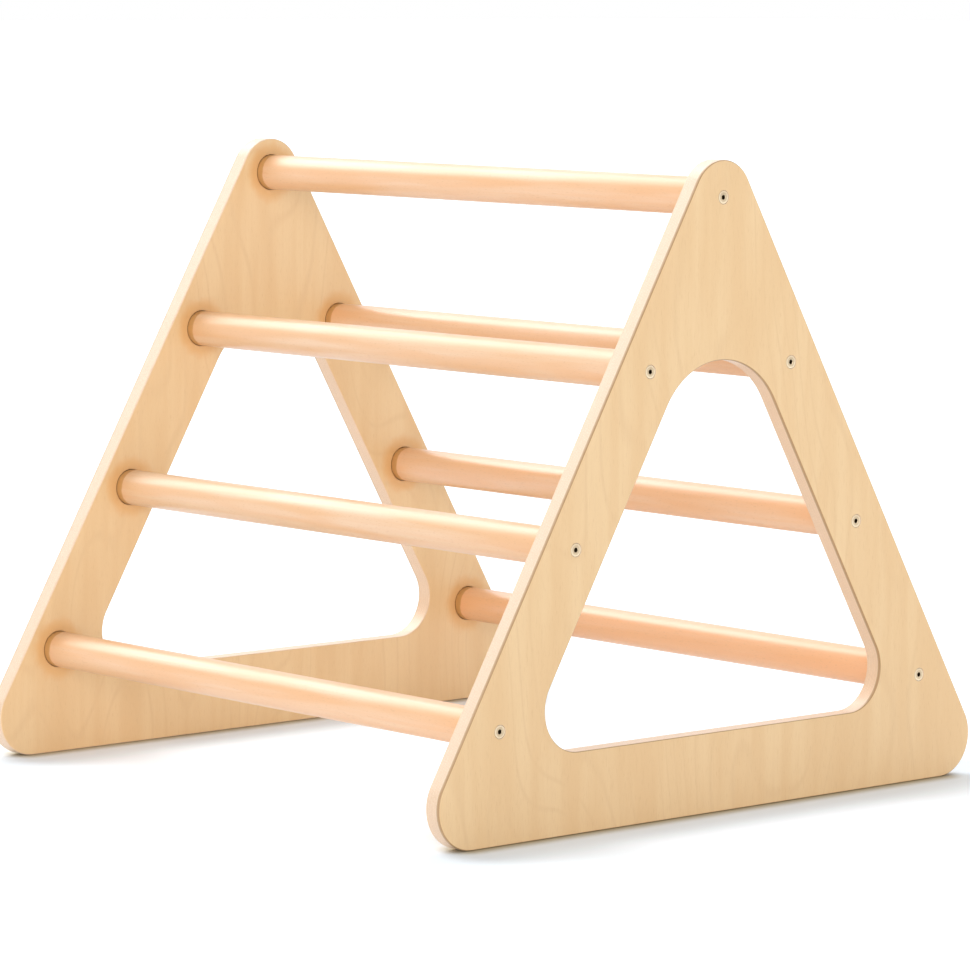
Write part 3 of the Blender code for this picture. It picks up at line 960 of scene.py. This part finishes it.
def build_inserts(material):
    """Geometry group for the inserts. Rings stand for the outer thread, and the bore is plain."""
    tree, given, result = new_group(
        "inserts",
        "GeometryNodeTree",
        PLACE_INPUTS
        + [
            ("Outer end", "NodeSocketFloat", 0.3244),
            ("Diameter", "NodeSocketFloat", 0.010),
            ("Bore diameter", "NodeSocketFloat", 0.0066),
            ("Length", "NodeSocketFloat", 0.014),
        ],
        MESH_OUTPUT,
    )
    crest = worked_out(tree, "DIVIDE", given["Diameter"], 2.0)
    bore = worked_out(tree, "DIVIDE", given["Bore diameter"], 2.0)
    root = worked_out(tree, "SUBTRACT", crest, INSERT_THREAD_DEPTH)
    inner_end = worked_out(tree, "MULTIPLY", given["Length"], -1.0)
    rings = [(0.0, bore, 0.0)]
    for i in range(2 * INSERT_THREAD_TURNS + 1):
        place = worked_out(tree, "MULTIPLY", given["Length"], -i / (2 * INSERT_THREAD_TURNS))
        rings.append((place, crest if i % 2 else root, 0.0))
    rings += [(inner_end, bore, 0.0), (0.0, bore, 0.0)]
    blank = turned_blank(tree, rings, INSERT_SPOKES)
    close_tree(tree, set_out_on_both_sides(tree, given, blank), material, result)
    return tree


insert_nodes = [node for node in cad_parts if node.startswith("insert_")]
insert_sizes = {"Seed": 29, "Outer end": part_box("insert_right_top")[1].x}
inserts = grown_piece("inserts", build_inserts(paint_brass()), {**place_sizes, **insert_sizes})
stand_in(inserts, "insert_brass", *insert_nodes)


# Floor and background
# A white studio floor that runs out to a white background. Away from the panels, what the camera
# sees of it is lifted to plain white, so that only the soft shadow along their feet shows, with a
# painted brown contact shadow under each flat edge.

FLOOR_HALF_SIDE = 60.0
FLOOR_HEIGHT = -0.0002
FLOOR_WHITE = (0.91, 0.92, 0.94)
FLOOR_WHITE_SEEN = (0.815, 0.88, 0.94)
LIFT_GAPS = (0.03, 0.125)
LIFT_LEVELS = (0.03, 0.32)
# Painted contact shadow under the panels' flat edges, in what the camera sees.
CONTACT_SHADOW_BROWN = (0.40, 0.32, 0.17)
CONTACT_SHADOW_GAPS = (0.006, 0.031)
FLAT_EDGE_END = PANEL_SIDE / 2 - FOOT_RADIUS * math.sqrt(3)


def gap_from_foot(tree, foot_end):
    """Distance on the floor from the nearer panel's foot, beside it and past its ends."""
    parts = parted(tree, add_node(tree, "ShaderNodeTexCoord").outputs["Object"])
    panel_middle = (inner_face + outer_face) / 2
    beside = worked_out(tree, "SUBTRACT", worked_out(tree, "ABSOLUTE", parts[0]), panel_middle)
    beyond = worked_out(tree, "SUBTRACT", worked_out(tree, "ABSOLUTE", parts[1]), foot_end)
    past_end = worked_out(tree, "MAXIMUM", beyond, 0.0)
    return vector_worked_out(tree, "LENGTH", joined(tree, beside, past_end))


def seen_mask(tree):
    """1 for what is seen straight, in a reflection or through glass, and 0 where light bounces."""
    rays = add_node(tree, "ShaderNodeLightPath").outputs
    seen = worked_out(tree, "MAXIMUM", rays["Is Camera Ray"], rays["Is Glossy Ray"])
    return worked_out(tree, "MAXIMUM", seen, rays["Is Transmission Ray"])


def paint_floor():
    material, tree, shader = new_material("studio_floor")
    seen = seen_mask(tree)
    # What the camera sees is painted with a brown contact shadow near the feet.
    clear = ramped(tree, gap_from_foot(tree, FLAT_EDGE_END), *CONTACT_SHADOW_GAPS)
    seen_colour = blended(tree, clear, CONTACT_SHADOW_BROWN, FLOOR_WHITE_SEEN)
    lift = ramped(tree, gap_from_foot(tree, PANEL_SIDE / 2), *LIFT_GAPS, *LIFT_LEVELS)
    tree.links.new(blended(tree, seen, FLOOR_WHITE, seen_colour), shader.inputs["Base Color"])
    tree.links.new(worked_out(tree, "MULTIPLY", lift, seen), shader.inputs["Emission Strength"])
    shader.inputs["Emission Color"].default_value = (1.0, 1.0, 1.0, 1.0)
    shader.inputs["Roughness"].default_value = 0.9
    shader.inputs["Specular IOR Level"].default_value = 0.0
    return material


floor_corners = [(-1, -1), (1, -1), (1, 1), (-1, 1)]
floor_places = [(x * FLOOR_HALF_SIDE, y * FLOOR_HALF_SIDE, FLOOR_HEIGHT) for x, y in floor_corners]
floor_mesh = bpy.data.meshes.new("floor")
floor_mesh.from_pydata(floor_places, [], [tuple(range(len(floor_places)))])
floor_mesh.materials.append(paint_floor())
add_piece("floor", floor_mesh)


# Light
# Even white light from all round, two broad soft lamps high on the left, the second of them
# further back, and a third low down in front. The room is plain white where it is seen.

ROOM_LIGHT = 0.61
LAMPS = {
    "left": (Vector((-0.72, -0.10, 0.64)), 1.5, math.radians(42)),
    "back": (Vector((-0.60, 0.35, 0.72)), 0.9, math.radians(60)),
    "front": (Vector((0.45, -0.88, 0.12)), 2.1, math.radians(60)),
}

world = bpy.data.worlds.new("studio")
bpy.context.scene.world = world
world.use_nodes = True
room = world.node_tree
room_strength = worked_out(room, "MULTIPLY_ADD", seen_mask(room), 1.0 - ROOM_LIGHT, ROOM_LIGHT)
room.links.new(room_strength, room.nodes["Background"].inputs["Strength"])
room.nodes["Background"].inputs["Color"].default_value = (1.0, 1.0, 1.0, 1.0)

for name, (direction, strength, spread) in LAMPS.items():
    lamp = bpy.data.lights.new(name, "SUN")
    lamp.energy = strength
    lamp.angle = spread
    stand = bpy.data.objects.new(name, lamp)
    stand.rotation_euler = direction.to_track_quat("Z", "Y").to_euler()
    bpy.context.scene.collection.objects.link(stand)


# Camera
# A long lens from the front right corner, a little above the middle of the triangle. It stands
# about 4.5 m away and a third of a degree out of level.

CAMERA_AIM = Vector((0.0, 0.00999, 0.27376))
CAMERA_DISTANCE = 4.50709
CAMERA_TURN = math.radians(48.674)
CAMERA_RISE = math.radians(6.2442)
CAMERA_ROLL = math.radians(0.3052)
FOCAL_LENGTH_IN_PIXELS = 4638.04
PICTURE_WIDTH_IN_PIXELS = 970
SENSOR_WIDTH_MM = 36.0
CLIP_END = 500.0

backward = Vector((math.sin(CAMERA_TURN), -math.cos(CAMERA_TURN), 0.0))
back = backward * math.cos(CAMERA_RISE) + Vector((0.0, 0.0, math.sin(CAMERA_RISE)))
level = Vector((math.cos(CAMERA_TURN), math.sin(CAMERA_TURN), 0.0))
upright = back.cross(level)
right = level * math.cos(CAMERA_ROLL) + upright * math.sin(CAMERA_ROLL)
up = upright * math.cos(CAMERA_ROLL) - level * math.sin(CAMERA_ROLL)
place = CAMERA_AIM + back * CAMERA_DISTANCE
lens = bpy.data.cameras.new("camera")
lens.sensor_width = SENSOR_WIDTH_MM
lens.lens = SENSOR_WIDTH_MM * FOCAL_LENGTH_IN_PIXELS / PICTURE_WIDTH_IN_PIXELS
lens.clip_end = CLIP_END
camera = bpy.data.objects.new("camera", lens)
axes = Matrix((right, up, back)).transposed()
camera.matrix_world = Matrix.Translation(place) @ axes.to_4x4()
bpy.context.scene.collection.objects.link(camera)
bpy.context.scene.camera = camera
bpy.context.scene.view_settings.view_transform = "Standard"
